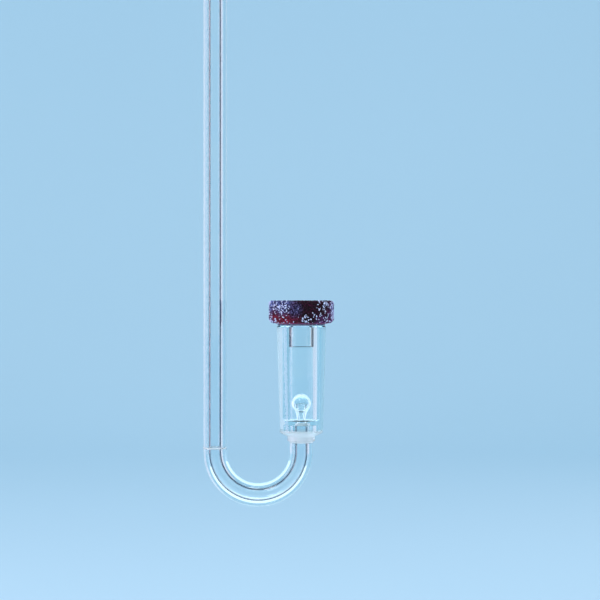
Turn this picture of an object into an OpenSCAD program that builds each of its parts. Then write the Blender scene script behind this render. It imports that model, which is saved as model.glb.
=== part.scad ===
// Carbon dioxide diffuser for a planted aquarium.
// Gas comes down a straight riser, round a return bend and up through a drop-shaped
// nozzle into a tapered barrel, where the bubbles can be counted. It leaves as a fine
// mist through a porous ceramic cap that plugs into the top of the barrel.
// Millimetres. Z = 0 is the height at which a suction-cup clip grips the riser,
// X = Y = 0 is the riser's axis, and the barrel stands beside it along +X.

/* [Overall] */
// Height from the lowest point of the bend to the riser's open end
overall_h = 140; // [120:1:180]
// Distance between the axes of the riser and the barrel
leg_spacing = 15.6; // [13:0.1:22]
// Height of the clip's grip above the lowest point of the bend
clip_h = 100; // [60:1:115]

/* [Tube] */
// Outside diameter of the riser and the bend
tube_od = 4.2; // [3.5:0.1:5]
// Diameter of the gas bore in the riser and the bend
tube_bore = 2.2; // [1.6:0.1:2.6]
// Chamfer that eases a hose over the riser's open end
hose_chamfer = 0.3; // [0.1:0.05:0.5]
// Straight stub that the bend has below its joint with the riser
stub_h = 0.6; // [0.2:0.1:4]
// Thickness of the cement between the riser and the bend
weld_t = 0.25; // [0.1:0.05:0.5]

/* [Barrel] */
// Bare length of the short leg between the bend and the barrel
bare_leg = 2; // [1:0.1:8]
// Length of the barrel from its underside to its rim
barrel_len = 20.8; // [17:0.1:26]
// Outside diameter at the barrel's rim
rim_d = 8.9; // [7.4:0.1:10.7]
// Outside diameter at the barrel's lower shoulder
shoulder_d = 7.75; // [6.5:0.05:8.8]
// Length of the straight neck under the shoulder
neck_len = 0.8; // [0.4:0.1:1.6]
// Height of the cone between the neck and the shoulder
shoulder_h = 0.7; // [0.4:0.1:1.6]
// Wall round the socket, at the neck
neck_wall = 0.35; // [0.3:0.05:0.6]
// Depth of the socket that takes the short leg
socket_depth = 2.9; // [2.4:0.1:4]
// Radial clearance of the tube in the socket
socket_clearance = 0.05; // [0.02:0.01:0.1]
// Thickness of the web between the socket and the barrel's bore
web_t = 0.7; // [0.6:0.1:1.2]
// Diameter of the barrel's bore
bore_d = 4.5; // [3.7:0.1:5.4]
// Chamfer at the floor of the bore
floor_chamfer = 0.3; // [0.1:0.05:0.5]
// Chamfer round the outside of the rim
rim_chamfer = 0.25; // [0.1:0.05:0.4]
// Leg of the cement fillet between the tube and the barrel's underside
fillet_leg = 0.35; // [0.2:0.05:0.4]

/* [Nozzle] */
// Radial gap between the nozzle's bulb and the barrel's bore
bulb_gap = 0.55; // [0.3:0.05:0.7]
// Height of the bulb's centre above the floor of the bore
bulb_rise = 3.2; // [2.6:0.1:5]
// Diameter of the nozzle's tail
tail_d = 1.5; // [1.3:0.05:1.8]
// Straight part of the tail above the floor of the bore
tail_rise = 0.4; // [0.2:0.05:0.8]
// Radial clearance of the tail in the web
tail_clearance = 0.03; // [0.02:0.01:0.06]
// Diameter of the gas passage through the tail
passage_d = 0.8; // [0.6:0.05:1]
// Width of the passage where it opens at the bulb's equator
cavity_d = 1.6; // [1.1:0.05:1.9]
// Diameter of the two ports in the sides of the bulb
port_d = 0.6; // [0.4:0.05:0.9]
// Outside diameter of the cement bead round the end of the tail
bead_d = 2.3; // [2:0.05:2.8]
// Thickness of that bead
bead_t = 0.4; // [0.2:0.05:0.5]

/* [Head] */
// Diameter of the porous cap
cap_d = 12; // [10:0.1:14.4]
// Height of the porous cap
cap_h = 4.3; // [3.6:0.1:6]
// Thickness of the cap's top wall
cap_top = 1.4; // [0.8:0.1:1.8]
// Thickness of the cap's side wall at the glued seat
cap_side = 1.3; // [1.1:0.1:1.6]
// Rounding of the cap's lower edge
cap_low_round = 0.9; // [0.3:0.1:1]
// Rounding of the cap's upper edge
cap_top_round = 0.4; // [0.2:0.1:0.8]
// Radial thickness of the adhesive between the cap and the carrier
bond_t = 0.25; // [0.15:0.05:0.4]
// Thickness of the carrier's flange
flange_t = 0.8; // [0.6:0.1:1.2]
// Width of the ledge inside the cap that the flange stops against
ledge_w = 0.45; // [0.3:0.05:0.6]
// Length of the carrier's sleeve inside the barrel
sleeve_len = 3.8; // [3:0.1:5]
// Wall of that sleeve
sleeve_wall = 0.35; // [0.3:0.05:0.6]
// Radial clearance of the sleeve in the bore
sleeve_clearance = 0.03; // [0.02:0.01:0.08]
// Thickness of the seal washer under the head
washer_t = 0.3; // [0.2:0.05:0.6]
// How far the washer's edge lies inside the barrel's rim
washer_inset = 0.15; // [0:0.05:0.3]
// Radial clearance between the washer and the sleeve
washer_clearance = 0.08; // [0.03:0.01:0.2]

/* [Hidden] */
$fn = 96;

// A cut runs past the faces it opens by this much
past = 1;

// Heights, from the bend upwards
bend_r = leg_spacing / 2;
bend_z = bend_r + tube_od / 2 - clip_h;
weld_z = bend_z + stub_h;
riser_z = weld_z + weld_t;
riser_top_z = overall_h - clip_h;
barrel_z = bend_z + bare_leg;
web_z = barrel_z + socket_depth;
bore_z = web_z + web_t;
rim_z = barrel_z + barrel_len;
head_z = rim_z + washer_t;
bulb_z = bore_z + bulb_rise;

// Diameters that follow from the fits
socket_d = tube_od + 2 * socket_clearance;
neck_d = socket_d + 2 * neck_wall;
orifice_d = tail_d + 2 * tail_clearance;
bulb_d = bore_d - 2 * bulb_gap;
sleeve_d = bore_d - 2 * sleeve_clearance;
sleeve_bore = sleeve_d - 2 * sleeve_wall;
washer_hole = sleeve_d + 2 * washer_clearance;
washer_d = rim_d - 2 * washer_inset;
seat_d = cap_d - 2 * cap_side;
flange_d = seat_d - 2 * bond_t;
plenum_d = flange_d - 2 * ledge_w;

// Colours
clear_tube = [0.80, 0.90, 0.98, 0.45];
clear_cast = [0.74, 0.86, 0.97, 0.5];
cement = [0.90, 0.94, 0.99, 0.6];
silicone = [0.62, 0.68, 0.80];
sintered = [0.34, 0.10, 0.20];
adhesive = [0.72, 0.22, 0.46];

// A flat ring that stands on the height z
module ring(outer_d, inner_d, height, z) {
    translate([0, 0, z])
        difference() {
            cylinder(d = outer_d, h = height);
            translate([0, 0, -past])
                cylinder(d = inner_d, h = height + 2 * past);
        }
}

// Moves a piece from the riser's axis to the barrel's axis
module on_barrel_axis() {
    translate([leg_spacing, 0, 0])
        children();
}

// The bend's centre line as a solid rod, with both straight ends made longer by extra
module bend_rod(d, extra) {
    translate([bend_r, 0, bend_z])
        rotate([90, 0, 0])
            rotate([0, 0, 180])
                rotate_extrude(angle = 180)
                    translate([bend_r, 0])
                        circle(d = d);
    translate([0, 0, bend_z])
        cylinder(d = d, h = stub_h + extra);
    translate([leg_spacing, 0, bend_z])
        cylinder(d = d, h = web_z - bend_z + extra);
}

// Straight tube that carries the gas down, chamfered at the end that takes the hose
module riser_tube() {
    wall_len = riser_top_z - hose_chamfer - riser_z;
    color(clear_tube)
        difference() {
            translate([0, 0, riser_z]) {
                cylinder(d = tube_od, h = wall_len);
                translate([0, 0, wall_len])
                    cylinder(d1 = tube_od, d2 = tube_od - 2 * hose_chamfer, h = hose_chamfer);
            }
            translate([0, 0, riser_z - past])
                cylinder(d = tube_bore, h = riser_top_z - riser_z + 2 * past);
        }
}

// Cement ring between the riser and the bend, polished flush with the tube
module riser_weld() {
    color(cement)
        ring(tube_od, tube_bore, weld_t, weld_z);
}

// U-shaped tube from the riser's foot up into the barrel's socket
module return_bend() {
    color(clear_tube)
        difference() {
            bend_rod(tube_od, 0);
            bend_rod(tube_bore, past);
        }
}

// Half outline of the barrel's outside, from its underside up
module barrel_outline() {
    polygon([
        [0, 0],
        [neck_d / 2, 0],
        [neck_d / 2, neck_len],
        [shoulder_d / 2, neck_len + shoulder_h],
        [rim_d / 2, barrel_len - rim_chamfer],
        [rim_d / 2 - rim_chamfer, barrel_len],
        [0, barrel_len]
    ]);
}

// Tapered chamber: a socket below, a thin web with the nozzle's hole, and a long bore
module barrel() {
    floor_h = socket_depth + web_t;
    color(clear_cast)
        on_barrel_axis()
            translate([0, 0, barrel_z])
                difference() {
                    rotate_extrude()
                        barrel_outline();
                    translate([0, 0, -past])
                        cylinder(d = socket_d, h = socket_depth + past);
                    translate([0, 0, socket_depth - past])
                        cylinder(d = orifice_d, h = web_t + 2 * past);
                    translate([0, 0, socket_depth])
                        cylinder(d = bead_d, h = bead_t);
                    translate([0, 0, floor_h])
                        cylinder(d1 = bore_d - 2 * floor_chamfer, d2 = bore_d, h = floor_chamfer);
                    translate([0, 0, floor_h + floor_chamfer])
                        cylinder(d = bore_d, h = barrel_len);
                }
}

// Cement fillet round the tube, under the barrel
module barrel_weld() {
    color(cement)
        on_barrel_axis()
            translate([0, 0, barrel_z])
                rotate_extrude()
                    polygon([
                        [tube_od / 2, 0],
                        [tube_od / 2, -fillet_leg],
                        [tube_od / 2 + fillet_leg, 0]
                    ]);
}

// Half outline of the nozzle: a ball whose lower side runs tangent into a thin tail
module nozzle_outline() {
    ball_r = bulb_d / 2;
    tail_r = tail_d / 2;
    drop = bulb_rise - tail_rise;
    // The tangent from the top of the tail touches the ball at this angle below its equator
    reach = sqrt(drop * drop + tail_r * tail_r);
    touch = acos(ball_r / reach) - atan2(tail_r, drop);
    touch_angle = 90 - touch;
    intersection() {
        union() {
            translate([0, bulb_z])
                circle(r = ball_r);
            polygon([
                [0, bulb_z],
                [0, bore_z + tail_rise],
                [tail_r, bore_z + tail_rise],
                [ball_r * cos(touch_angle), bulb_z - ball_r * sin(touch_angle)]
            ]);
            translate([0, web_z])
                square([tail_r, web_t + tail_rise]);
        }
        translate([0, web_z])
            square([bore_d, bulb_rise + web_t + bore_d]);
    }
}

// Hollow drop with a widening gas passage and a port on each side
module bubble_nozzle() {
    tail_len = web_t + tail_rise;
    color(clear_cast)
        on_barrel_axis()
            difference() {
                rotate_extrude()
                    nozzle_outline();
                translate([0, 0, web_z - past])
                    cylinder(d = passage_d, h = tail_len + past);
                translate([0, 0, web_z + tail_len])
                    cylinder(d1 = passage_d, d2 = cavity_d, h = bulb_rise - tail_rise);
                translate([-bulb_d, 0, bulb_z - port_d / 2])
                    rotate([0, 90, 0])
                        cylinder(d = port_d, h = 2 * bulb_d);
            }
}

// Cement bead that holds the tail of the nozzle in the web
module nozzle_weld() {
    color(cement)
        on_barrel_axis()
            ring(bead_d, tail_d, bead_t, web_z);
}

// Soft washer between the barrel's rim and the head
module seal_washer() {
    color(silicone)
        on_barrel_axis()
            ring(washer_d, washer_hole, washer_t, rim_z);
}

// Flange glued into the cap, with the sleeve that plugs into the barrel
module membrane_carrier() {
    color(clear_cast)
        on_barrel_axis()
            difference() {
                union() {
                    translate([0, 0, head_z])
                        cylinder(d = flange_d, h = flange_t);
                    translate([0, 0, rim_z - sleeve_len])
                        cylinder(d = sleeve_d, h = sleeve_len + washer_t + flange_t / 2);
                }
                translate([0, 0, rim_z - sleeve_len - past])
                    cylinder(d = sleeve_bore, h = sleeve_len + washer_t + flange_t + 2 * past);
            }
}

// Half outline of the cap's outside, with its own rounding on each edge
module cap_outline() {
    cap_r = cap_d / 2;
    waist = cap_h / 2;
    square([cap_r - cap_low_round, waist]);
    translate([0, cap_low_round])
        square([cap_r, cap_h - cap_low_round - cap_top_round]);
    translate([0, waist])
        square([cap_r - cap_top_round, cap_h - waist]);
    translate([cap_r - cap_low_round, cap_low_round])
        circle(r = cap_low_round);
    translate([cap_r - cap_top_round, cap_h - cap_top_round])
        circle(r = cap_top_round);
}

// Porous ceramic cap, hollow underneath so that gas reaches the whole of its top wall
module membrane_cap() {
    color(sintered)
        on_barrel_axis()
            translate([0, 0, head_z])
                difference() {
                    rotate_extrude()
                        cap_outline();
                    translate([0, 0, -past])
                        cylinder(d = seat_d, h = flange_t + past);
                    cylinder(d = plenum_d, h = cap_h - cap_top);
                }
}

// Adhesive ring between the carrier's flange and the cap
module cap_bond() {
    color(adhesive)
        on_barrel_axis()
            ring(seat_d, flange_d, flange_t, head_z);
}

riser_tube();
riser_weld();
return_bend();
barrel();
barrel_weld();
bubble_nozzle();
nozzle_weld();
seal_washer();
membrane_carrier();
membrane_cap();
cap_bond();
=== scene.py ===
# %% [markdown]
# # A carbon dioxide diffuser in clear acrylic
# The object hangs in an aquarium. Gas comes down a thin tube, goes round a bend, bubbles
# through a clear drop in a tapered barrel and leaves as mist through a porous cap.
# This lesson rebuilds each piece over a fixed engineering model, the frame. The frame
# says where everything is, so every size below is measured on it.

# %% Load the frame
import math

import bmesh
import bpy
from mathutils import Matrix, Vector


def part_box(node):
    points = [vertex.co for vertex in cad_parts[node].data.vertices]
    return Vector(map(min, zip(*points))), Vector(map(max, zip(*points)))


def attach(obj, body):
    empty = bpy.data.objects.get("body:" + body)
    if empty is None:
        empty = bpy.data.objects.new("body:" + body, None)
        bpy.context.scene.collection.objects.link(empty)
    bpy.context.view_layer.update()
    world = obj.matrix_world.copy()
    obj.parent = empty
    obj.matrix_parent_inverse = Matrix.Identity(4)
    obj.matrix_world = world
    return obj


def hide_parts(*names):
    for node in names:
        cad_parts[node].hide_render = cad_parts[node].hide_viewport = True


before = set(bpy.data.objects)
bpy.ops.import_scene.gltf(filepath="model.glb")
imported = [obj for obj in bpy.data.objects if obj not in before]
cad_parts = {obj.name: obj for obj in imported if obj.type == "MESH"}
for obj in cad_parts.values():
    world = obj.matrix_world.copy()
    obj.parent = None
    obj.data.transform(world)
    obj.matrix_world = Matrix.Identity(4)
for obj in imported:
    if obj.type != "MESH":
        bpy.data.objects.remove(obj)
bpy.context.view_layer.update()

MM = 0.001
print("frame nodes:", sorted(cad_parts))

# %% [markdown]
# ## Measuring the frame
# Nearly every piece is turned, so its shape is an outline that runs round an axis.
# The corners of that outline could be typed in again, but they would drift from the
# frame. It is safer to read them off the frame's own corners: their heights, and their
# distances from the piece's axis.


# %% Measuring helpers
riser_low, riser_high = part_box("riser_tube")
weld_low, weld_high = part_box("riser_weld")
bend_low, bend_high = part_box("return_bend")
bulb_low, bulb_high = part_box("bubble_nozzle")
bead_low, bead_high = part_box("nozzle_weld")
fillet_low, fillet_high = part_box("barrel_weld")
washer_low, washer_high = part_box("seal_washer")
carrier_low, carrier_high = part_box("membrane_carrier")
cap_low, cap_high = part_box("membrane_cap")
bond_low, bond_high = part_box("cap_bond")

# The riser stands on the origin, and the bend reaches as far past it on each side
barrel_x = bend_low.x + bend_high.x


def rings(node):
    """The sharp edges that run round a turned node, as (height, radius) in order."""
    middle = 0.0 if node.startswith("riser") else barrel_x
    shape = bmesh.new()
    shape.from_mesh(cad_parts[node].data)
    bmesh.ops.remove_doubles(shape, verts=shape.verts, dist=0.001 * MM)
    found = set()
    for edge in shape.edges:
        first, second = (vertex.co for vertex in edge.verts)
        level = abs(first.z - second.z) < 0.001 * MM
        if level and len(edge.link_faces) == 2 and edge.calc_face_angle() > math.radians(5):
            radius = math.hypot(first.x - middle, first.y)
            found.add((round(first.z, 6), round(radius, 6)))
    shape.free()
    return sorted(found)


def levels(node):
    """The heights of a node's sharp edges, lowest first."""
    return sorted({height for height, radius in rings(node)})


def radii(node, height):
    """The radii of a node's sharp edges at one height, smallest first."""
    return [radius for level, radius in rings(node) if abs(level - height) < 0.005 * MM]


tube_r = radii("riser_tube", riser_low.z)[1]
tube_bore_r = radii("riser_tube", riser_low.z)[0]
bend_r = barrel_x / 2
bend_z = bend_low.z + tube_r + bend_r
print("tube radius %.2f mm, bore radius %.2f mm" % (tube_r / MM, tube_bore_r / MM))
print("barrel rings in mm:", [(round(z / MM, 2), round(r / MM, 3)) for z, r in rings("barrel")])

# %% [markdown]
# ## Outlines with soft corners
# Cut acrylic is deburred and polished, so no edge of it is truly sharp. A tiny rounding
# catches a line of light, which is how the eye reads clear plastic. The helper rounds
# each corner with a few points on an arc, and adds one guard point on each side, so that
# smooth shading stays on the arc and doesn't bleed over the flat faces.

# %% Outline helper
AIR = 0.02 * MM  # film of air between pieces that touch, so that light sees the joint


def outline(corners, closed=True, arc_steps=5):
    """Points round an outline. A corner is (height or length along, radius, rounding)."""
    points = []
    count = len(corners)
    for index, (along, radius, rounding) in enumerate(corners):
        corner = Vector((along, radius))
        if rounding == 0:
            points.append(corner)
            continue
        before = Vector(corners[index - 1][:2])
        after = Vector(corners[(index + 1) % count][:2])
        back = (before - corner).normalized()
        ahead = (after - corner).normalized()
        half = back.angle(ahead) / 2
        run = rounding / math.tan(half)
        centre = corner + (back + ahead).normalized() * rounding / math.sin(half)
        start = corner + back * run - centre
        end = corner + ahead * run - centre
        first = math.atan2(start.y, start.x)
        sweep = math.remainder(math.atan2(end.y, end.x) - first, 2 * math.pi)
        points.append(corner + back * (run + rounding / 2))
        for step in range(arc_steps + 1):
            angle = first + sweep * step / arc_steps
            points.append(centre + Vector((math.cos(angle), math.sin(angle))) * rounding)
        points.append(corner + ahead * (run + rounding / 2))
    if closed:
        points.append(points[0])
    return points


def arc(centre_along, radius, first, last, steps):
    """Points on a ball's outline, from one latitude to another, in degrees."""
    angles = [math.radians(first + (last - first) * i / steps) for i in range(steps + 1)]
    return [
        Vector((centre_along + radius * math.sin(a), radius * math.cos(a))) for a in angles
    ]


# %% [markdown]
# ## One rule for everything that is turned
# A lathe carries an outline round an axis. A bent tube is the same thing with the axis
# bent afterwards, as it is in the workshop. Geometry Nodes can hold that rule once: a
# grid gets one column of points for each point of the outline, and one row for each step
# round. Each point finds its length along the path, its radius and its angle, and moves
# there. The Screw modifier could turn the straight pieces, but it couldn't follow a path.


# %% Node helper
def add(tree, kind, values=None, **settings):
    """Adds a node. Each value is a number, or the socket of another node to link."""
    made = tree.nodes.new(kind)
    for name, setting in settings.items():
        setattr(made, name, setting)
    for key, value in (values or {}).items():
        if isinstance(value, bpy.types.NodeSocket):
            tree.links.new(value, made.inputs[key])
        else:
            made.inputs[key].default_value = value
    return made


def math_node(tree, operation, first, second=0.0):
    """One sum on numbers, and its result's socket."""
    return add(tree, "ShaderNodeMath", {0: first, 1: second}, operation=operation).outputs[0]


def vector_node(tree, operation, first, second=(0, 0, 0)):
    """One sum on vectors, and its result's socket."""
    made = add(tree, "ShaderNodeVectorMath", {0: first, 1: second}, operation=operation)
    return made.outputs[0]


def scaled(tree, vector, factor):
    """A vector times a number."""
    made = add(tree, "ShaderNodeVectorMath", {0: vector, "Scale": factor}, operation="SCALE")
    return made.outputs[0]


# %% The turning tree
def turning_tree():
    """Carries an outline round a path. Outline points hold (radius, 0, length along)."""
    tree = bpy.data.node_groups.new("turned along a path", "GeometryNodeTree")
    sockets = tree.interface
    sockets.new_socket("Outline", in_out="INPUT", socket_type="NodeSocketGeometry")
    sockets.new_socket("Path", in_out="INPUT", socket_type="NodeSocketObject")
    sockets.new_socket("Steps Round", in_out="INPUT", socket_type="NodeSocketInt")
    sockets.new_socket("Finish", in_out="INPUT", socket_type="NodeSocketMaterial")
    sockets.new_socket("Geometry", in_out="OUTPUT", socket_type="NodeSocketGeometry")
    given = add(tree, "NodeGroupInput").outputs

    size = add(tree, "GeometryNodeAttributeDomainSize", {"Geometry": given["Outline"]})
    count = size.outputs["Point Count"]
    last = math_node(tree, "SUBTRACT", count, 1.0)
    rows = math_node(tree, "ADD", given["Steps Round"], 1.0)
    grid = add(tree, "GeometryNodeMeshGrid", {
        "Size X": last, "Size Y": given["Steps Round"], "Vertices X": count, "Vertices Y": rows,
    })
    place = add(tree, "GeometryNodeInputPosition").outputs[0]
    column_row = add(tree, "ShaderNodeSeparateXYZ", {0: place}).outputs
    centred = math_node(tree, "ADD", column_row["X"], math_node(tree, "DIVIDE", last, 2.0))
    column = math_node(tree, "ROUND", centred)
    share = math_node(tree, "DIVIDE", column_row["Y"], given["Steps Round"])
    angle = math_node(tree, "MULTIPLY", math_node(tree, "ADD", share, 0.5), 2 * math.pi)

    drawn = add(
        tree, "GeometryNodeSampleIndex",
        {"Geometry": given["Outline"], "Index": column}, data_type="FLOAT_VECTOR",
    )
    tree.links.new(place, drawn.inputs["Value"])
    radius_length = add(tree, "ShaderNodeSeparateXYZ", {0: drawn.outputs["Value"]}).outputs
    path = add(
        tree, "GeometryNodeObjectInfo", {"Object": given["Path"]}, transform_space="ORIGINAL"
    )
    on_path = add(
        tree, "GeometryNodeSampleCurve",
        {"Curves": path.outputs["Geometry"], "Length": radius_length["Z"]}, mode="LENGTH",
    ).outputs
    side = (0.0, 1.0, 0.0)
    outward = vector_node(
        tree, "NORMALIZE",
        add(tree, "ShaderNodeVectorMath", {0: side, 1: on_path["Tangent"]},
            operation="CROSS_PRODUCT").outputs[0],
    )
    reach_out = math_node(tree, "MULTIPLY", radius_length["X"], math_node(tree, "COSINE", angle))
    reach_side = math_node(tree, "MULTIPLY", radius_length["X"], math_node(tree, "SINE", angle))
    sideways = add(tree, "ShaderNodeCombineXYZ", {"Y": reach_side}).outputs[0]
    offset = vector_node(tree, "ADD", scaled(tree, outward, reach_out), sideways)
    target = vector_node(tree, "ADD", on_path["Position"], offset)

    marked = add(tree, "GeometryNodeStoreNamedAttribute", {
        "Geometry": grid.outputs["Mesh"], "Name": "radius", "Value": radius_length["X"],
    }, data_type="FLOAT", domain="POINT")
    moved = add(tree, "GeometryNodeSetPosition", {
        "Geometry": marked.outputs[0], "Position": target,
    })
    welded = add(tree, "GeometryNodeMergeByDistance", {
        "Geometry": moved.outputs[0], "Distance": 0.001 * MM,
    })
    turned_out = add(tree, "GeometryNodeFlipFaces", {"Mesh": welded.outputs[0]})
    smooth = add(tree, "GeometryNodeSetShadeSmooth", {"Geometry": turned_out.outputs[0]})
    real = add(tree, "GeometryNodeRealizeInstances", {"Geometry": smooth.outputs[0]})
    finished = add(tree, "GeometryNodeSetMaterial", {
        "Geometry": real.outputs[0], "Material": given["Finish"],
    })
    add(tree, "NodeGroupOutput", {"Geometry": finished.outputs[0]})
    return tree


TURNING = turning_tree()
print("turning tree:", len(TURNING.nodes), "nodes")


# %% Running a tree and keeping its mesh
def link(thing):
    """Puts an object in the scene."""
    bpy.context.scene.collection.objects.link(thing)
    return thing


def set_inputs(modifier, values):
    """Sets a Geometry Nodes modifier's inputs through their sockets' identifiers."""
    for item in modifier.node_group.interface.items_tree:
        if item.in_out == "INPUT" and item.name in values:
            modifier[item.identifier] = values[item.name]


def bake_tree(carrier, tree, values, name):
    """Evaluates a tree on the carrier, keeps the result as a plain mesh object."""
    modifier = carrier.modifiers.new(tree.name, "NODES")
    modifier.node_group = tree
    set_inputs(modifier, values)
    carrier.update_tag()
    bpy.context.view_layer.update()
    graph = bpy.context.evaluated_depsgraph_get()
    mesh = bpy.data.meshes.new_from_object(carrier.evaluated_get(graph), depsgraph=graph)
    bpy.data.objects.remove(carrier)
    mesh.name = name
    return link(bpy.data.objects.new(name, mesh))


def path_object(name, points):
    """A path as a curve of straight steps."""
    curve = bpy.data.curves.new(name, "CURVE")
    curve.dimensions = "3D"
    spline = curve.splines.new("POLY")
    spline.points.add(len(points) - 1)
    for slot, point in zip(spline.points, points):
        slot.co = (*point, 1.0)
    return link(bpy.data.objects.new(name, curve))


def turn(name, points, path, finish, steps=128):
    """Turns an outline round a path, and prints its volume as a check of its walls."""
    mesh = bpy.data.meshes.new(name + " outline")
    edges = [(i, i + 1) for i in range(len(points) - 1)]
    mesh.from_pydata([(p.y, 0.0, p.x) for p in points], edges, [])
    carrier = link(bpy.data.objects.new(name + " outline", mesh))
    piece = bake_tree(
        carrier, TURNING, {"Path": path, "Steps Round": steps, "Finish": finish}, name
    )
    print("%s: %d faces, %.1f mm3" % (name, len(piece.data.polygons), volume(piece) / MM**3))
    return piece


def volume(piece):
    """Signed volume. It is positive when the faces point outwards."""
    shape = bmesh.new()
    shape.from_mesh(piece.data)
    amount = shape.calc_volume(signed=True)
    shape.free()
    return amount


def stand_for(piece, node, body):
    """The piece takes a frame node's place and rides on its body."""
    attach(piece, body)
    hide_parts(node)


# %% [markdown]
# ## Clear acrylic
# Acrylic bends light a little less than window glass, and a thick piece of it is faintly
# blue along its length. Nothing made of it is perfect: extruded tube is wavy along its
# length, turned pieces carry fine rings, and handling leaves hairline scratches and
# cloudy patches. The colour in the depth is absorption inside the volume, so thin walls
# stay clear and thick ones tint. The waviness and scratches are bumps, and the cloudy
# patches are a change of roughness.
#
# Seen edge-on, a bore's wall looks dark. A skin paints that shade: a colour mixed in on the air side
# that shows only at a grazing angle. It is painted shade, navy, in the bores and on the sleeve, whose
# lower end is painted navy from every angle. On the drop it is a painted highlight, white, for the
# outline that the light turns white. Light on its way to a lamp goes nearly straight through, so that
# clear pieces don't black out what is inside them. The neck of the barrel is left satin by the cutter,
# so it is rougher and a little white.


# %% Clear acrylic
def new_material(name):
    """An empty node material and its output node."""
    material = bpy.data.materials.new(name)
    material.use_nodes = True
    tree = material.node_tree
    tree.nodes.clear()
    return material, tree, add(tree, "ShaderNodeOutputMaterial")


def noise(tree, where, scale, detail=3.0, stretch=(1, 1, 1)):
    """Noise in the piece's own place, stretched along an axis where the factor is small."""
    laid = add(tree, "ShaderNodeMapping", {"Vector": where, "Scale": stretch}).outputs[0]
    made = add(tree, "ShaderNodeTexNoise", {"Vector": laid, "Scale": scale, "Detail": detail})
    return made.outputs["Fac"]


def ranged(tree, value, low, high, from_low=0.3, from_high=0.7):
    """Carries a noise value to the range low to high."""
    return add(tree, "ShaderNodeMapRange", {
        "Value": value, "From Min": from_low, "From Max": from_high,
        "To Min": low, "To Max": high,
    }).outputs[0]


def clear_acrylic(name, wave_stretch, wave_scale, wave_depth, skin=None, satin_below=-1.0):
    """Clear plastic with waves, hairlines and cloudy patches.

    A skin paints shade with a dark colour and a highlight with a white one. It is mixed in on the
    faces whose radius is between its inside and outside, and on those below its foot, but not above
    its top. It shows from the edge-on value start and is densest at full, and below its foot it is
    painted from any angle. The part that lies lower than satin_below is left satin by the cutter.
    """
    material, tree, output = new_material(name)
    where = add(tree, "ShaderNodeTexCoord").outputs["Object"]
    waves = noise(tree, where, wave_scale, 2.0, wave_stretch)
    hairs = noise(tree, where, 900.0, 4.0, (1.0, 1.0, 0.06))
    clouds = noise(tree, where, 260.0, 4.0)
    soft = add(tree, "ShaderNodeBump", {"Height": waves, "Strength": 0.6, "Distance": wave_depth})
    fine = add(tree, "ShaderNodeBump", {
        "Height": hairs, "Strength": 0.25, "Distance": 0.002 * MM, "Normal": soft.outputs[0],
    })
    tint = add(tree, "ShaderNodeMix", {
        0: ranged(tree, clouds, 0.0, 1.0), 6: (1.0, 1.0, 1.0, 1), 7: (0.955, 0.98, 1.0, 1),
    }, data_type="RGBA")
    height = add(tree, "ShaderNodeSeparateXYZ", {0: where}).outputs["Z"]
    satin = ranged(tree, height, 1.0, 0.0, satin_below - 0.1 * MM, satin_below + 0.1 * MM)
    rough = math_node(
        tree, "ADD", ranged(tree, clouds, 0.0, 0.05), math_node(tree, "MULTIPLY", satin, 0.35)
    )
    shader = add(tree, "ShaderNodeBsdfPrincipled", {
        "Base Color": tint.outputs[2],
        "Roughness": rough,
        "Normal": fine.outputs[0],
        "IOR": 1.49,
        "Transmission Weight": math_node(
            tree, "SUBTRACT", 1.0, math_node(tree, "MULTIPLY", satin, 0.3)
        ),
    })
    surface = shader.outputs[0]
    # The skin is painted light: a dark colour paints shade and a white one paints a highlight, mixed
    # in where a face is seen edge-on.
    if skin:
        radius = add(tree, "ShaderNodeAttribute", attribute_name="radius").outputs["Fac"]
        edge_on = add(tree, "ShaderNodeLayerWeight", {"Blend": 0.5}).outputs["Facing"]
        from_inside = add(tree, "ShaderNodeNewGeometry").outputs["Backfacing"]
        share = ranged(tree, edge_on, 0.0, 1.0, skin["start"], skin["full"])
        between = math_node(
            tree, "MULTIPLY", math_node(tree, "LESS_THAN", radius, skin["outside"]),
            math_node(tree, "GREATER_THAN", radius, skin["inside"]),
        )
        for factor in (
            between,
            math_node(tree, "SUBTRACT", 1.0, from_inside),
            ranged(tree, height, 1.0, 0.0, skin["top"], skin["top"] + 0.5 * MM),
            ranged(tree, clouds, 0.92, 1.0),
        ):
            share = math_node(tree, "MULTIPLY", share, factor)
        # Below the foot, the skin's colour is painted from any angle, nearly in full.
        foot = math_node(tree, "LESS_THAN", height, skin["foot"])
        share = math_node(tree, "MAXIMUM", share, math_node(tree, "MULTIPLY", foot, 0.85))
        facing_out = add(tree, "ShaderNodeBsdfDiffuse", {"Color": skin["colour"]})
        facing_in = add(tree, "ShaderNodeBsdfTranslucent", {"Color": skin["colour"]})
        painted_edge = add(tree, "ShaderNodeAddShader", {0: facing_out.outputs[0], 1: facing_in.outputs[0]})
        surface = add(tree, "ShaderNodeMixShader", {
            0: share, 1: surface, 2: painted_edge.outputs[0],
        }).outputs[0]
    to_light = add(tree, "ShaderNodeLightPath").outputs["Is Shadow Ray"]
    open_way = add(tree, "ShaderNodeBsdfTransparent", {"Color": (0.93, 0.96, 1.0, 1)})
    surface = add(tree, "ShaderNodeMixShader", {
        0: math_node(tree, "MULTIPLY", to_light, 0.9), 1: surface, 2: open_way.outputs[0],
    }).outputs[0]
    depth = add(tree, "ShaderNodeVolumeAbsorption", {"Color": (0.10, 0.80, 0.87, 1), "Density": 50.0})
    tree.links.new(surface, output.inputs["Surface"])
    tree.links.new(depth.outputs[0], output.inputs["Volume"])
    return material


# Painted shade: navy for the dark edges of the bores and the sleeve.
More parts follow.
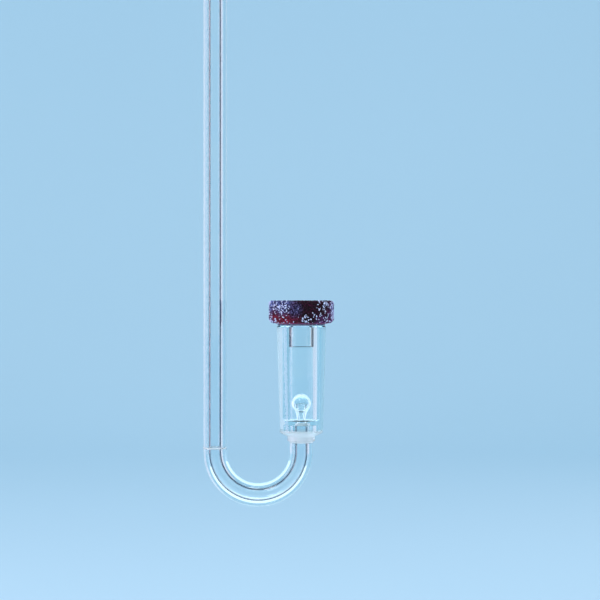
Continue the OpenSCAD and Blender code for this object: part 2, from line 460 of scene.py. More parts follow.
PAINTED_SHADE_NAVY = (0.002, 0.007, 0.035, 1)
# Painted highlight: white for the drop's bright outline.
PAINTED_HIGHLIGHT_WHITE = (0.95, 0.97, 1.0, 1)
# The tube's skin paints shade along its bore where it is seen edge-on.
tube_finish = clear_acrylic(
    "extruded clear tube", (1.0, 1.0, 0.12), 420.0, 0.008 * MM,
    skin=dict(
        colour=PAINTED_SHADE_NAVY, inside=-1.0, outside=1.01 * tube_bore_r, foot=-1.0, top=1.0,
        start=0.22, full=0.5,
    ),
)
shoulder_z = levels("barrel")[2]
barrel_finish = clear_acrylic(
    "turned clear barrel", (0.15, 0.15, 1.0), 700.0, 0.004 * MM,
    satin_below=shoulder_z + 0.4 * MM,
)
# The drop's skin is a painted highlight on its outline, where it is seen edge-on.
drop_finish = clear_acrylic(
    "moulded clear drop", (1.0, 1.0, 1.0), 500.0, 0.004 * MM,
    skin=dict(
        colour=PAINTED_HIGHLIGHT_WHITE, inside=-1.0, outside=3 * MM, foot=-1.0, top=bulb_high.z,
        start=0.25, full=0.45,
    ),
)
sleeve_bore_r, sleeve_r = radii("membrane_carrier", carrier_low.z)
# The sleeve's skin paints shade on its outer wall seen edge-on, and on its lower end from any angle.
sleeve_finish = clear_acrylic(
    "turned clear carrier", (0.15, 0.15, 1.0), 700.0, 0.004 * MM,
    skin=dict(
        colour=PAINTED_SHADE_NAVY, inside=sleeve_r - 0.02 * MM, outside=sleeve_r + 0.02 * MM,
        foot=carrier_low.z + 0.10 * MM, top=1.0, start=0.34, full=0.48,
    ),
)
print("clear finishes:", [
    finish.name for finish in (tube_finish, barrel_finish, drop_finish, sleeve_finish)
])

# %% [markdown]
# ## Solvent cement
# Acrylic is joined with a cement that melts both faces. It sets clear, but a little
# whiter than the tube, because it traps specks of air. The same base as the clear
# plastic serves, with more roughness and a pitted bump.


# %% Solvent cement
def solvent_cement():
    """Clear cement, slightly milky, with trapped specks."""
    material, tree, output = new_material("set solvent cement")
    where = add(tree, "ShaderNodeTexCoord").outputs["Object"]
    specks = add(tree, "ShaderNodeTexVoronoi", {"Vector": where, "Scale": 5200.0}).outputs["Distance"]
    haze = noise(tree, where, 900.0)
    pits = add(tree, "ShaderNodeBump", {
        "Height": specks, "Strength": 0.5, "Distance": 0.02 * MM,
    })
    colour = add(tree, "ShaderNodeMix", {
        0: ranged(tree, haze, 0.0, 1.0), 6: (0.93, 0.97, 1.0, 1), 7: (1.0, 1.0, 1.0, 1),
    }, data_type="RGBA")
    shader = add(tree, "ShaderNodeBsdfPrincipled", {
        "Base Color": colour.outputs[2],
        "Roughness": ranged(tree, haze, 0.2, 0.5),
        "Normal": pits.outputs[0],
        "IOR": 1.46,
        "Transmission Weight": 0.5,
    })
    tree.links.new(shader.outputs[0], output.inputs["Surface"])
    return material


cement_finish = solvent_cement()

# %% [markdown]
# ## The gas's path: riser, joint and bend
# The riser is a plain length of thick tube with a fine bore. Its open end is chamfered so
# that a hose goes on. The bend is the same tube, heated and pulled round a former, and
# cemented to the riser's foot. Both are one closed wall: up the outside, over the end
# and back down the bore.

# %% Riser and its joint
TUBE_EDGE = 0.06 * MM  # rounding of a cut and polished tube end
POLISHED = 0.01 * MM  # rounding where a joint was polished flush
chamfer_z = levels("riser_tube")[-2]
chamfer_r = radii("riser_tube", riser_high.z)[-1]
foot = riser_low.z + AIR
riser_path = path_object("riser path", [(0, 0, foot), (0, 0, riser_high.z)])
riser = turn("riser_tube_clear", outline([
    (0.0, tube_bore_r, POLISHED),
    (0.0, tube_r, POLISHED),
    (chamfer_z - foot, tube_r, TUBE_EDGE),
    (riser_high.z - foot, chamfer_r, TUBE_EDGE),
    (riser_high.z - foot, tube_bore_r, TUBE_EDGE),
]), riser_path, tube_finish)
stand_for(riser, "riser_tube", "stem")

weld_path = path_object("weld path", [(0, 0, weld_low.z), (0, 0, weld_high.z)])
weld_t = weld_high.z - weld_low.z
weld = turn("riser_weld_ring", outline([
    (0.0, tube_bore_r, POLISHED),
    (0.0, tube_r, POLISHED),
    (weld_t, tube_r, POLISHED),
    (weld_t, tube_bore_r, POLISHED),
]), weld_path, cement_finish)
stand_for(weld, "riser_weld", "stem")

# %% [markdown]
# ## The bend follows a half circle
# The bend's wall is the riser's wall carried round a path: a stub, a half circle and a
# leg. A wall with long faces would cut across the curve, so the outline gets one station
# for each step of the half circle. A curve with a round bevel would be quicker, but it
# has no bore and no closed ends.


# %% Return bend
BEND_STEPS = 120
bend_top = weld_low.z - AIR
leg_top = bend_high.z - AIR
swing = [math.pi + math.pi * i / BEND_STEPS for i in range(BEND_STEPS + 1)]
bend_points = [(0, 0, bend_top)]
bend_points += [
    (bend_r + bend_r * math.cos(a), 0, bend_z + bend_r * math.sin(a)) for a in swing
]
bend_points += [(barrel_x, 0, leg_top)]
bend_path = path_object("bend path", bend_points)

stub = bend_top - bend_z
arc_length = sum(
    (Vector(b) - Vector(a)).length for a, b in zip(bend_points[1:-2], bend_points[2:-1])
)
whole = stub + arc_length + leg_top - bend_z
stations = [stub + arc_length * i / BEND_STEPS for i in range(BEND_STEPS + 1)]


def bent_wall():
    """The bend's closed wall, with a station for each step of its path."""
    ends = outline([
        (0.0, tube_bore_r, POLISHED), (0.0, tube_r, POLISHED),
        (whole, tube_r, TUBE_EDGE), (whole, tube_bore_r, TUBE_EDGE),
    ], closed=False)
    half = len(ends) // 2
    outside = [Vector((s, tube_r)) for s in stations]
    inside = [Vector((s, tube_bore_r)) for s in reversed(stations)]
    return ends[:half] + outside + ends[half:] + inside + ends[:1]


bend = turn("return_bend_clear", bent_wall(), bend_path, tube_finish, steps=96)
stand_for(bend, "return_bend", "stem")

# %% [markdown]
# ## The barrel
# The barrel is turned from clear rod: a socket for the tube below, a thin web, and a long
# bore that the bubbles rise through. Its outside widens slowly towards the rim. The
# corners come from the frame, and the roundings are those of a polished turned piece.

# %% Barrel
(
    underside, neck_top, shoulder, web, bead_top, floor_z, bore_start, rim_edge, rim,
) = levels("barrel")
socket_r, neck_r = radii("barrel", underside)
shoulder_r = radii("barrel", shoulder)[-1]
rim_widest_r = radii("barrel", rim_edge)[-1]
bore_r, rim_r = radii("barrel", rim)
floor_r = radii("barrel", floor_z)[-1]
orifice_r = radii("barrel", floor_z)[0]
recess_r = radii("barrel", bead_top)[-1]
barrel_path = path_object("barrel path", [(barrel_x, 0, fillet_low.z), (barrel_x, 0, cap_high.z)])


def up(height):
    """A height as a length along the barrel's path."""
    return height - fillet_low.z


barrel = turn("barrel_clear", outline([
    (up(underside), socket_r, 0.05 * MM),
    (up(underside), neck_r, 0.1 * MM),
    (up(neck_top), neck_r, 0.12 * MM),
    (up(shoulder), shoulder_r, 0.18 * MM),
    (up(rim_edge), rim_widest_r, 0.1 * MM),
    (up(rim), rim_r, 0.1 * MM),
    (up(rim), bore_r, 0.06 * MM),
    (up(bore_start), bore_r, 0.15 * MM),
    (up(floor_z), floor_r, 0.15 * MM),
    (up(floor_z), orifice_r, 0.04 * MM),
    (up(bead_top), orifice_r, 0.03 * MM),
    (up(bead_top), recess_r, 0.03 * MM),
    (up(web), recess_r, 0.03 * MM),
    (up(web), socket_r, 0.05 * MM),
]), barrel_path, barrel_finish, steps=160)
stand_for(barrel, "barrel", "stem")

# %% [markdown]
# ## Cement under the barrel and under the web
# Two small rings of cement hold the barrel on the tube and the drop in its web. Surface
# tension pulls the outer one into a hollow fillet, so its free face is an arc.

# %% Cement rings
fillet_leg = fillet_high.z - fillet_low.z
fillet_arc = [
    Vector((
        up(fillet_high.z) - AIR - fillet_leg * (1 - math.sin(a)),
        tube_r + AIR + fillet_leg * (1 - math.cos(a)),
    ))
    for a in (math.radians(2 + 86 * i / 10) for i in range(11))
]
fillet_points = [Vector((up(fillet_high.z) - AIR, tube_r + AIR))] + fillet_arc
fillet_points.append(fillet_points[0])
fillet = turn("barrel_weld_fillet", fillet_points, barrel_path, cement_finish)
stand_for(fillet, "barrel_weld", "stem")

tail_r = radii("nozzle_weld", bead_low.z)[0]
bead = turn("nozzle_weld_bead", outline([
    (up(bead_low.z) + AIR, tail_r + AIR, 0.03 * MM),
    (up(bead_low.z) + AIR, recess_r - AIR, 0.1 * MM),
    (up(bead_high.z) - AIR, recess_r - AIR, 0.05 * MM),
    (up(bead_high.z) - AIR, tail_r + AIR, 0.03 * MM),
]), barrel_path, cement_finish)
stand_for(bead, "nozzle_weld", "stem")

# %% [markdown]
# ## The drop that makes the bubbles
# Gas has to leave as single bubbles that can be counted, so it comes through a hollow
# drop of clear plastic. A narrow passage widens towards the middle of the ball and opens
# on each side through a small port. The drop is turned, and then the ports are drilled
# across it with a Boolean, as a drill would.

# %% Drop
ball_r = (bulb_high.x - bulb_low.x) / 2
ball_z = bulb_high.z - ball_r
passage_r = radii("bubble_nozzle", bulb_low.z)[0]
cavity_r = radii("bubble_nozzle", ball_z)[0]
tail_top = floor_z + 0.4 * MM
drop = ball_z - tail_top
reach = math.hypot(drop, tail_r)
touch = 90 - math.degrees(math.acos(ball_r / reach) - math.atan2(tail_r, drop))
drop_points = outline([
    (up(tail_top), passage_r, 0.0),
    (up(bulb_low.z) + AIR, passage_r, 0.03 * MM),
    (up(bulb_low.z) + AIR, tail_r, 0.05 * MM),
    (up(tail_top), tail_r, 0.3 * MM),
    (up(ball_z) - ball_r * math.sin(math.radians(touch)), ball_r * math.cos(math.radians(touch)), 0.0),
], closed=False)
drop_points += arc(up(ball_z), ball_r, -touch, 90, 40)[1:]
cavity_points = [
    Vector((up(ball_z) + 0.12 * MM, 0.0)),
    Vector((up(ball_z) + 0.11 * MM, cavity_r * 0.5)),
    Vector((up(ball_z) + 0.05 * MM, cavity_r * 0.85)),
    Vector((up(ball_z) - 0.1 * MM, cavity_r)),
]
nozzle = turn("bubble_nozzle_clear", cavity_points + drop_points, barrel_path, drop_finish)
print("the cone touches the ball %.0f degrees below its middle" % touch)

# %% [markdown]
# ## Drilling the ports
# The two ports are one hole drilled across the ball, a little below its middle. A Boolean cuts it and
# gives the cut faces the drill's own material. That material paints shade: near each mouth the wall is
# near-black and lets no light through, so each port shows as a small dark spot.


# %% Ports
port_r = 0.3 * MM  # a 0.6 mm drill, as in the frame


def drilled_wall():
    """The wall of a fine drilled hole: clear, with painted shade at its mouth, a near-black opaque
    ring.
    """
    material, tree, output = new_material("drilled wall")
    where = add(tree, "ShaderNodeTexCoord").outputs["Object"]
    marks = noise(tree, where, 5000.0)
    aside = add(tree, "ShaderNodeVectorMath", {
        0: where, 1: (barrel_x, 0.0, ball_z - port_r),
    }, operation="DISTANCE").outputs["Value"]
    painted_shade_mouth = ranged(tree, aside, 0.0, 1.0, 0.50 * ball_r, 0.54 * ball_r)
    clear = add(tree, "ShaderNodeMix", {
        0: ranged(tree, marks, 0.0, 1.0), 6: (0.86, 0.92, 1.0, 1), 7: (1.0, 1.0, 1.0, 1),
    }, data_type="RGBA")
    # Painted shade: near the mouth the wall is near-black and lets no light through.
    colour = add(tree, "ShaderNodeMix", {
        0: painted_shade_mouth, 6: clear.outputs[2], 7: (0.03, 0.04, 0.09, 1),
    }, data_type="RGBA")
    skin = add(tree, "ShaderNodeBump", {"Height": marks, "Strength": 0.5, "Distance": 0.01 * MM})
    shader = add(tree, "ShaderNodeBsdfPrincipled", {
        "Base Color": colour.outputs[2], "Roughness": ranged(tree, marks, 0.1, 0.3),
        "Normal": skin.outputs[0], "IOR": 1.49,
        "Transmission Weight": math_node(tree, "SUBTRACT", 1.0, painted_shade_mouth),
    })
    tree.links.new(shader.outputs[0], output.inputs["Surface"])
    return material


port_path = path_object("port path", [
    (barrel_x - 1.5 * ball_r, 0, ball_z - port_r), (barrel_x + 1.5 * ball_r, 0, ball_z - port_r),
])
drill = turn("port drill", [
    Vector((0.0, 0.0)), Vector((0.0, port_r)),
    Vector((3 * ball_r, port_r)), Vector((3 * ball_r, 0.0)),
], port_path, drilled_wall(), steps=32)
drill.hide_render = True
cut = nozzle.modifiers.new("drilled ports", "BOOLEAN")
cut.operation = "DIFFERENCE"
cut.solver = "EXACT"
cut.material_mode = "TRANSFER"
cut.object = drill
bpy.context.view_layer.update()
graph = bpy.context.evaluated_depsgraph_get()
drilled = bpy.data.meshes.new_from_object(nozzle.evaluated_get(graph), depsgraph=graph)
nozzle.modifiers.clear()
drilled.set_sharp_from_angle(angle=math.radians(40))
nozzle.data = drilled
bpy.data.objects.remove(drill)
stand_for(nozzle, "bubble_nozzle", "stem")
print("drop with ports: %.2f mm3" % (volume(nozzle) / MM**3))

# %% [markdown]
# ## The removable head: carrier and washer
# The porous cap is glued to a clear carrier, whose sleeve plugs into the barrel. A thin
# silicone washer lies between the carrier and the rim.

# %% Carrier
flange_low = bond_low.z
flange_r = radii("membrane_carrier", flange_low)[-1]
carrier = turn("membrane_carrier_clear", outline([
    (up(carrier_low.z), sleeve_bore_r, 0.08 * MM),
    (up(carrier_low.z), sleeve_r, 0.1 * MM),
    (up(flange_low) + AIR, sleeve_r, 0.06 * MM),
    (up(flange_low) + AIR, flange_r - AIR, 0.1 * MM),
    (up(carrier_high.z) - AIR, flange_r - AIR, 0.05 * MM),
    (up(carrier_high.z) - AIR, sleeve_bore_r, 0.1 * MM),
]), barrel_path, sleeve_finish)
stand_for(carrier, "membrane_carrier", "head")


# %% [markdown]
# ## The soft washer
# Silicone lets light in but scatters it, so it is milky. It is tacky as well, and holds
# dust in its skin. Half its light passes through, its colour is mottled and its surface
# is gently uneven. Its edges are rounder than those of the hard pieces.


# %% Washer
def soft_silicone():
    """Translucent silicone: milky, slightly tacky, with a cloth-fine dust in its skin."""
    material, tree, output = new_material("translucent silicone")
    where = add(tree, "ShaderNodeTexCoord").outputs["Object"]
    mottle = noise(tree, where, 1400.0, 5.0)
    colour = add(tree, "ShaderNodeMix", {
        0: ranged(tree, mottle, 0.0, 1.0), 6: (0.36, 0.42, 0.62, 1), 7: (0.60, 0.66, 0.82, 1),
    }, data_type="RGBA")
    skin = add(tree, "ShaderNodeBump", {"Height": mottle, "Strength": 0.4, "Distance": 0.01 * MM})
    shader = add(tree, "ShaderNodeBsdfPrincipled", {
        "Base Color": colour.outputs[2],
        "Roughness": ranged(tree, mottle, 0.3, 0.55),
        "Normal": skin.outputs[0],
        "IOR": 1.41,
        "Transmission Weight": 0.45,
    })
    tree.links.new(shader.outputs[0], output.inputs["Surface"])
    return material


washer_r = (washer_high.x - washer_low.x) / 2
washer_hole_r = radii("seal_washer", washer_low.z)[0]
washer = turn("seal_washer_soft", outline([
    (up(washer_low.z) + AIR, washer_hole_r, 0.05 * MM),
    (up(washer_low.z) + AIR, washer_r, 0.12 * MM),
    (up(washer_high.z) - AIR, washer_r, 0.12 * MM),
    (up(washer_high.z) - AIR, washer_hole_r, 0.05 * MM),
]), barrel_path, soft_silicone())
stand_for(washer, "seal_washer", "washer")

# %% [markdown]
# ## The porous cap
# The cap is sintered: grains of ceramic are pressed in a mould and fired until they
# stick. Its surface is a crowd of small dark grains with clusters of paler, glassy ones.
# A bump map alone would leave its edge ruler-straight, so the grains are real. One node tree scatters
# grains over the shell with a fixed seed, and gives each grain its own size, turn and a random number
# that the material reads as its tone.


# %% Colour of the sintered body
def near(tree, where, centre, reach):
    """1 at a centre, falling to 0 at the given reach."""
    away = add(tree, "ShaderNodeVectorMath", {0: where, 1: centre}, operation="DISTANCE")
    return ranged(tree, away.outputs["Value"], 1.0, 0.0, reach * 0.35, reach)


def patch_centre(turn_degrees, height_share):
    """A place on the cap's side wall. 0 degrees faces the front, positive goes right."""
    angle = math.radians(turn_degrees)
    return (
        barrel_x + cap_r * math.sin(angle),
        -cap_r * math.cos(angle),
        cap_low.z + (cap_high.z - cap_low.z) * height_share,
    )


cap_r = (cap_high.x - cap_low.x) / 2


def sintered_ceramic(name, pale_share):
    """Dark maroon grains, with blue and crimson regions and pale, glossier grains in clusters. The
    pale clusters at the lower middle and at the left and right edges are partly painted highlight.

    Each region has its own dark and bright end, and a share of grains that are pale.
    """
    material, tree, output = new_material(name)
    where = add(tree, "ShaderNodeTexCoord").outputs["Object"]
    tone = add(tree, "ShaderNodeAttribute", attribute_name="tone").outputs["Fac"]
    regions = noise(tree, where, 260.0, 2.0)
    grit = noise(tree, where, 4200.0, 4.0)

    def mix(share, first, second):
        return add(tree, "ShaderNodeMix", {0: share, 6: first, 7: second}, data_type="RGBA").outputs[2]

    def most(values):
        top = values[0]
        for value in values[1:]:
            top = math_node(tree, "MAXIMUM", top, value)
        return top

    spots = math_node(
        tree, "SUBTRACT", 1.0, near(tree, where, patch_centre(12, 0.5), 6.5 * MM)
    )
    blue_here = most([
        near(tree, where, patch_centre(-38, 0.95), 3.0 * MM),
        near(tree, where, patch_centre(-75, 0.9), 3.0 * MM),
        math_node(tree, "MULTIPLY", near(tree, where, patch_centre(-13, 0.62), 1.8 * MM), 0.4),
        math_node(tree, "MULTIPLY", spots, ranged(tree, regions, 0.0, 0.8, 0.56, 0.64)),
    ])
    crimson_here = most([
        near(tree, where, patch_centre(-58, 0.05), 3.6 * MM),
        near(tree, where, patch_centre(-34, 0.02), 2.6 * MM),
        math_node(tree, "MULTIPLY", near(tree, where, patch_centre(-12, 0.0), 2.2 * MM), 0.35),
        math_node(tree, "MULTIPLY", spots, ranged(tree, regions, 0.8, 0.0, 0.36, 0.44)),
    ])
    violet_here = most([
        near(tree, where, patch_centre(76, 0.4), 3.0 * MM),
        near(tree, where, patch_centre(40, 0.0), 1.9 * MM),
    ])
    dark = mix(tone, (0.008, 0.0006, 0.004, 1), (0.055, 0.003, 0.024, 1))
    blue = mix(tone, (0.008, 0.006, 0.05, 1), (0.34, 0.38, 0.85, 1))
    crimson = mix(tone, (0.07, 0.004, 0.014, 1), (0.42, 0.022, 0.07, 1))
    violet = mix(tone, (0.03, 0.006, 0.035, 1), (0.30, 0.07, 0.30, 1))
    body = mix(violet_here, dark, violet)
    body = mix(crimson_here, body, crimson)
    body = mix(blue_here, body, blue)

    # Pale grains in given clusters. This is partly grain colour and partly painted highlight: the
    # clusters at the lower middle and at the left and right edges stand in for light caught on the
    # beads.
    pale_and_highlight_clusters = (
        (-40, 0.8, 2.8 * MM, 0.55), (-88, 0.65, 2.6 * MM, 0.85), (-68, 0.1, 1.3 * MM, 0.6),
        (9, 0.18, 1.3 * MM, 0.75), (35, 0.3, 2.2 * MM, 0.40), (47, 0.75, 1.6 * MM, 0.40),
        (75, 0.5, 2.6 * MM, 0.55), (90, 0.5, 2.0 * MM, 0.9),
    )
    pale_here = most([
        math_node(tree, "MULTIPLY", near(tree, where, patch_centre(side, up_share), reach), share)
        for side, up_share, reach, share in pale_and_highlight_clusters
    ] + [math_node(tree, "MULTIPLY", spots, 0.35)])
    pale_here = math_node(tree, "MAXIMUM", pale_here, 0.03)
    chosen = math_node(
        tree, "GREATER_THAN", math_node(tree, "MULTIPLY", pale_here, pale_share),
        math_node(tree, "SUBTRACT", 1.0, tone),
    )
    pale = mix(grit, (0.42, 0.48, 0.88, 1), (0.92, 0.90, 1.0, 1))
    colour = mix(chosen, body, pale)
    rough = math_node(
        tree, "SUBTRACT", ranged(tree, grit, 0.4, 0.8), math_node(tree, "MULTIPLY", chosen, 0.25)
    )
    bump = add(tree, "ShaderNodeBump", {"Height": grit, "Strength": 0.7, "Distance": 0.02 * MM})
    shader = add(tree, "ShaderNodeBsdfPrincipled", {
        "Base Color": colour, "Roughness": rough, "Normal": bump.outputs[0],
        "IOR": 1.54, "Specular IOR Level": 0.14,
    })
    tree.links.new(shader.outputs[0], output.inputs["Surface"])
    return material


body_finish = sintered_ceramic("sintered body", 0.0)
fine_finish = sintered_ceramic("sintered fine grains", 0.6)
coarse_finish = sintered_ceramic("sintered coarse grains", 1.0)

# %% [markdown]
# ## The cap's shell
# The shell carries the grains. It stays inside the frame's cap by as much as the grains
# stand out, so the finished cap has the frame's size. Its lower edge is rounder than its
# upper one, because a pressed cap leaves its mould from below. Its points lie close
# together, so the grains have a fine surface to sit on.


# %% Cap shell
GRAIN_REACH = 0.2 * MM  # how far the grains stand out from the shell
seat_r = (bond_high.x - bond_low.x) / 2
plenum_r = radii("membrane_cap", bond_high.z)[0]
plenum_top = max(z for z, r in rings("membrane_cap") if abs(r - plenum_r) < 0.005 * MM)
shell_r = cap_r - GRAIN_REACH
low_round = 0.85 * MM
top_round = 0.4 * MM


def finely(points, step):
    """The same outline with points no further apart than step."""
    fine = [points[0]]
    for before, after in zip(points, points[1:]):
        pieces = max(1, math.ceil((after - before).length / step))
        fine += [before.lerp(after, (i + 1) / pieces) for i in range(pieces)]
    return fine


cap_outline = outline([
    (up(plenum_top), 0.0, 0.0),
    (up(plenum_top), plenum_r, 0.2 * MM),
    (up(bond_high.z), plenum_r, 0.1 * MM),
    (up(bond_high.z), seat_r, 0.1 * MM),
    (up(cap_low.z) + GRAIN_REACH, seat_r, 0.05 * MM),
    (up(cap_low.z) + GRAIN_REACH, shell_r, low_round),
    (up(cap_high.z) - GRAIN_REACH, shell_r, top_round),
    (up(cap_high.z) - GRAIN_REACH, 0.0, 0.0),
], closed=False, arc_steps=8)
cap_outline = finely(cap_outline, 0.15 * MM)
shell = turn("membrane_cap_shell", cap_outline, barrel_path, body_finish, steps=256)


# %% [markdown]
# ## Scattering the grains
# A second tree spreads points over the shell with a least distance between them, as
# packed grains have. Each point gets a grain with its own size, turn and tone. Two
# passes, fine and coarse, give the mixed sizes of a real powder. The seed is fixed, so
# the cap is the same every time. The inside of the cap and the glued face stay bare.


# %% Grain tree
def grain_tree():
    """Scatters grains over a shell's outside."""
    tree = bpy.data.node_groups.new("sintered grains", "GeometryNodeTree")
    sockets = tree.interface
    sockets.new_socket("Shell", in_out="INPUT", socket_type="NodeSocketGeometry")
    sockets.new_socket("Spacing", in_out="INPUT", socket_type="NodeSocketFloat")
    sockets.new_socket("Grain Radius", in_out="INPUT", socket_type="NodeSocketFloat")
    sockets.new_socket("Sink", in_out="INPUT", socket_type="NodeSocketFloat")
    sockets.new_socket("Skip Radius", in_out="INPUT", socket_type="NodeSocketFloat")
    sockets.new_socket("Seed", in_out="INPUT", socket_type="NodeSocketInt")
    sockets.new_socket("Finish", in_out="INPUT", socket_type="NodeSocketMaterial")
    sockets.new_socket("Geometry", in_out="OUTPUT", socket_type="NodeSocketGeometry")
    given = add(tree, "NodeGroupInput").outputs

    place = add(tree, "GeometryNodeInputPosition").outputs[0]
    axis = (barrel_x, 0.0, 0.0)
    flat = vector_node(tree, "MULTIPLY", vector_node(tree, "SUBTRACT", place, axis), (1.0, 1.0, 0.0))
    away = add(tree, "ShaderNodeVectorMath", {0: flat}, operation="LENGTH").outputs["Value"]
    normal = add(tree, "ShaderNodeSeparateXYZ", {0: add(tree, "GeometryNodeInputNormal").outputs[0]})
    on_side = math_node(tree, "GREATER_THAN", away, given["Skip Radius"])
    on_top = math_node(tree, "GREATER_THAN", normal.outputs["Z"], 0.5)
    above = math_node(
        tree, "GREATER_THAN", add(tree, "ShaderNodeSeparateXYZ", {0: place}).outputs["Z"],
        plenum_top + 0.1 * MM,
    )
    outside = math_node(tree, "MAXIMUM", on_side, math_node(tree, "MULTIPLY", on_top, above))

    points = add(tree, "GeometryNodeDistributePointsOnFaces", {
        "Mesh": given["Shell"], "Selection": outside, "Distance Min": given["Spacing"],
        "Density Max": 1.4 / (0.2 * MM) ** 2, "Seed": given["Seed"],
    }, distribute_method="POISSON")
    inward = scaled(tree, points.outputs["Normal"], math_node(tree, "MULTIPLY", given["Sink"], -1.0))
    sunk = add(tree, "GeometryNodeSetPosition", {
        "Geometry": points.outputs["Points"], "Offset": inward,
    })
    grain = add(tree, "GeometryNodeMeshIcoSphere", {"Radius": 1.0, "Subdivisions": 1})
    tone = add(tree, "FunctionNodeRandomValue", {"Seed": 3}, data_type="FLOAT")
    bulk = add(tree, "FunctionNodeRandomValue", {
        "Min": (0.35, 0.8, 0.6), "Max": (0.8, 1.7, 1.0), "Seed": 7,
    }, data_type="FLOAT_VECTOR")
    spin = add(tree, "FunctionNodeRandomValue", {
        "Min": (-0.5, -0.5, 0.0), "Max": (0.5, 0.5, 6.283), "Seed": 11,
    }, data_type="FLOAT_VECTOR")
    turned = add(tree, "FunctionNodeRotateRotation", {
        "Rotation": points.outputs["Rotation"], "Rotate By": spin.outputs["Value"],
    }, rotation_space="LOCAL")
    placed = add(tree, "GeometryNodeInstanceOnPoints", {
        "Points": sunk.outputs[0], "Instance": grain.outputs["Mesh"],
        "Rotation": turned.outputs[0],
        "Scale": scaled(tree, bulk.outputs["Value"], given["Grain Radius"]),
    })
    toned = add(tree, "GeometryNodeStoreNamedAttribute", {
        "Geometry": placed.outputs[0], "Name": "tone", "Value": tone.outputs[1],
    }, data_type="FLOAT", domain="INSTANCE")
    real = add(tree, "GeometryNodeRealizeInstances", {"Geometry": toned.outputs[0]})
    finished = add(tree, "GeometryNodeSetMaterial", {
        "Geometry": real.outputs[0], "Material": given["Finish"],
    })
    add(tree, "NodeGroupOutput", {"Geometry": finished.outputs[0]})
    return tree


GRAINS = grain_tree()


def scatter(name, finish, spacing, radius, sink, seed):
    """Grains over the cap's outside, as a piece of their own."""
    carrier = link(bpy.data.objects.new(name + " carrier", shell.data.copy()))
    grains = bake_tree(carrier, GRAINS, {
        "Spacing": spacing, "Grain Radius": radius, "Sink": sink,
        "Skip Radius": seat_r + 0.15 * MM, "Seed": seed, "Finish": finish,
    }, name)
    print("%s: %d faces" % (name, len(grains.data.polygons)))
    return grains


fine_grains = scatter(
    "membrane_cap_fine_grains", fine_finish, 0.24 * MM, 0.15 * MM, 0.02 * MM, 5
)
coarse_grains = scatter(
    "membrane_cap_coarse_grains", coarse_finish, 0.42 * MM, 0.27 * MM, 0.1 * MM, 9
)
for piece in (shell, fine_grains, coarse_grains):
    stand_for(piece, "membrane_cap", "head")


# %% [markdown]
# ## The adhesive ring
# The cap is glued to the carrier's flange. The adhesive takes the cap's colour, and
# shows as a thin pink line under the cap. It is glossy, uneven in depth, and lets a
# third of the light through.


# %% Adhesive ring
def cured_adhesive():
    """Cured adhesive, tinted and glossy, with uneven depth."""
    material, tree, output = new_material("cured adhesive")
    where = add(tree, "ShaderNodeTexCoord").outputs["Object"]
    flow = noise(tree, where, 1300.0)
    colour = add(tree, "ShaderNodeMix", {
        0: ranged(tree, flow, 0.0, 1.0), 6: (0.30, 0.03, 0.14, 1), 7: (0.62, 0.16, 0.40, 1),
    }, data_type="RGBA")
    skin = add(tree, "ShaderNodeBump", {"Height": flow, "Strength": 0.5, "Distance": 0.03 * MM})
    shader = add(tree, "ShaderNodeBsdfPrincipled", {
        "Base Color": colour.outputs[2], "Roughness": ranged(tree, flow, 0.08, 0.25),
        "Normal": skin.outputs[0], "IOR": 1.5, "Transmission Weight": 0.3,
    })
    tree.links.new(shader.outputs[0], output.inputs["Surface"])
    return material


bond = turn("cap_bond_ring", outline([
    (up(bond_low.z) + AIR, flange_r + AIR, 0.05 * MM),
    (up(bond_low.z) + AIR, seat_r - AIR, 0.05 * MM),
    (up(bond_high.z) - AIR, seat_r - AIR, 0.05 * MM),
    (up(bond_high.z) - AIR, flange_r + AIR, 0.05 * MM),
]), barrel_path, cured_adhesive())
stand_for(bond, "cap_bond", "head")

for path in (riser_path, weld_path, bend_path, barrel_path, port_path):
    bpy.data.objects.remove(path)

# %% [markdown]
# ## Studio
# Clear plastic shows only what it bends into view, so the room makes the picture. A pale
# sweep is the floor and the back wall in one piece, without a horizon. It is a plain mesh
# with one profile, because it only has to be smooth.

# %% Sweep
PALE = (0.58, 0.78, 0.90)


def pale_paper():
    """A plain pale sweep with a faint unevenness."""
    material, tree, output = new_material("pale paper")
    where = add(tree, "ShaderNodeTexCoord").outputs["Object"]
    drift = noise(tree, where, 3.0)
    colour = add(tree, "ShaderNodeMix", {
        0: drift, 6: (*[c * 0.96 for c in PALE], 1), 7: (*PALE, 1),
    }, data_type="RGBA")
    shader = add(tree, "ShaderNodeBsdfPrincipled", {
        "Base Color": colour.outputs[2], "Roughness": 0.9, "Specular IOR Level": 0.1,
    })
    tree.links.new(shader.outputs[0], output.inputs["Surface"])
    return material


FLOOR_DROP = 45 * MM
floor_z_level = bend_low.z - FLOOR_DROP
SWEEP_R = 0.5
SWEEP_BACK = 0.5
profile = [(-2.5, floor_z_level), (SWEEP_BACK, floor_z_level)]
profile += [
    (SWEEP_BACK + SWEEP_R * math.sin(a), floor_z_level + SWEEP_R * (1 - math.cos(a)))
    for a in (math.radians(90 * i / 24) for i in range(1, 25))
]
profile += [(SWEEP_BACK + SWEEP_R, floor_z_level + 2.5)]
corners = [(x, y, z) for x in (-3.0, 3.0) for y, z in profile]
count = len(profile)
sweep_mesh = bpy.data.meshes.new("sweep")
sweep_mesh.from_pydata(
    corners, [], [(i + count, i + count + 1, i + 1, i) for i in range(count - 1)]
)
sweep_mesh.polygons.foreach_set("use_smooth", [True] * (count - 1))
sweep_mesh.materials.append(pale_paper())
sweep = link(bpy.data.objects.new("sweep", sweep_mesh))

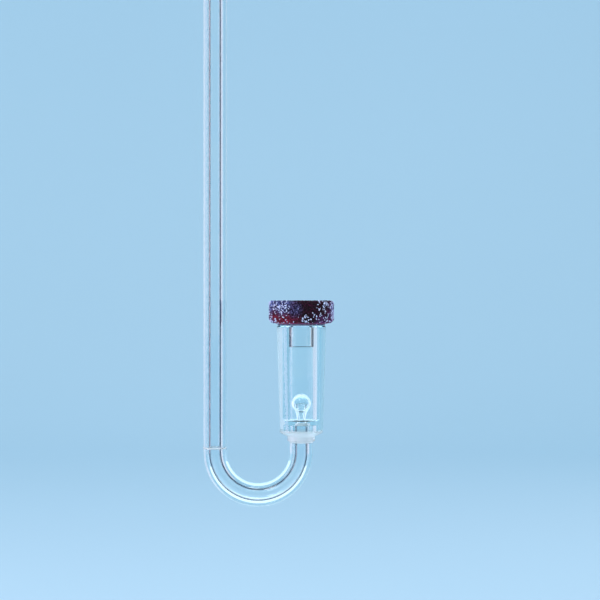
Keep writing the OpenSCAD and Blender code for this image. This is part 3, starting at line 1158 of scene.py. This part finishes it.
# %% [markdown]
# ## Lights
# The surround is even and pale blue, so most of the plastic stays clear. Two tall strips
# stand level with the object, just in front of its sides. They draw the pale lines along
# the edges of the walls. A rosy soft box behind the right side fills the band beside the
# bore. The front and top boxes stand high, so they light the cap and the bend but don't
# mirror in the upright walls. A light table under the object draws pale arcs in the bend.
# A lamp seen through clear plastic adds to what is behind it, so the lamps that show
# through the walls are weak. The strong ones are small and high, or so far to the side
# that only the edges of the walls see them.


# %% Lights
world = bpy.data.worlds.new("surround")
bpy.context.scene.world = world
world.use_nodes = True
world.node_tree.nodes["Background"].inputs["Color"].default_value = (0.72, 0.88, 1.0, 1)
world.node_tree.nodes["Background"].inputs["Strength"].default_value = 0.86

centre = Vector((barrel_x / 2, 0, (cap_high.z + bend_low.z) / 2))


def around(degrees, distance, height=0.0):
    """A place round the object. 0 degrees is behind it and 90 is on its right."""
    angle = math.radians(degrees)
    return centre + Vector((distance * math.sin(angle), distance * math.cos(angle), height))


def facing(thing, place):
    """Puts a thing at a place and turns it to the object."""
    thing.location = place
    thing.rotation_euler = (centre - place).to_track_quat("-Z", "Y").to_euler()


def soft_box(name, place, width, height, radiance, colour=(1, 1, 1)):
    """A rectangular soft light that shines with the given radiance."""
    data = bpy.data.lights.new(name, "AREA")
    data.shape = "RECTANGLE"
    data.size, data.size_y = width, height
    data.energy = radiance * math.pi * width * height
    data.color = colour
    lamp = link(bpy.data.objects.new(name, data))
    facing(lamp, place)
    lamp.visible_camera = False


soft_box("left strip", around(-96, 0.4), 0.16, 0.6, 3.2, (1.0, 0.66, 0.76))
soft_box("right strip", around(96, 0.4), 0.12, 0.6, 1.4, (1.0, 0.84, 0.84))
soft_box("right soft box", around(58, 0.4), 0.30, 0.6, 0.40, (1.0, 0.55, 0.50))
soft_box("front soft box", around(-150, 0.75, 0.8), 0.34, 0.34, 6.0)
soft_box("light table", around(0, 0.0, floor_z_level + 3 * MM - centre.z), 0.25, 0.25, 0.5)
soft_box("top soft box", around(160, 0.12, 0.4), 0.14, 0.14, 4.0)

# %% [markdown]
# ## Camera
# A long lens, level with the cap's top, keeps the upright pieces straight. The view is
# measured in cap diameters, so the object fills it in the same way if its size changes.


# %% Camera
LENS = 85.0
CAPS_ACROSS = 9.04  # how many cap diameters the view is wide
camera_data = bpy.data.cameras.new("camera")
camera_data.lens = LENS
camera_data.clip_start = 0.01
camera = link(bpy.data.objects.new("camera", camera_data))
view_width = CAPS_ACROSS * (cap_high.x - cap_low.x)
distance = view_width * LENS / camera_data.sensor_width
camera.location = (barrel_x - 0.24 * MM, -distance, cap_high.z)
camera.rotation_euler = (math.pi / 2, 0, 0)
bpy.context.scene.camera = camera
bpy.context.scene.view_settings.view_transform = "Standard"
print("camera %.0f mm in front of the object" % (distance / MM))
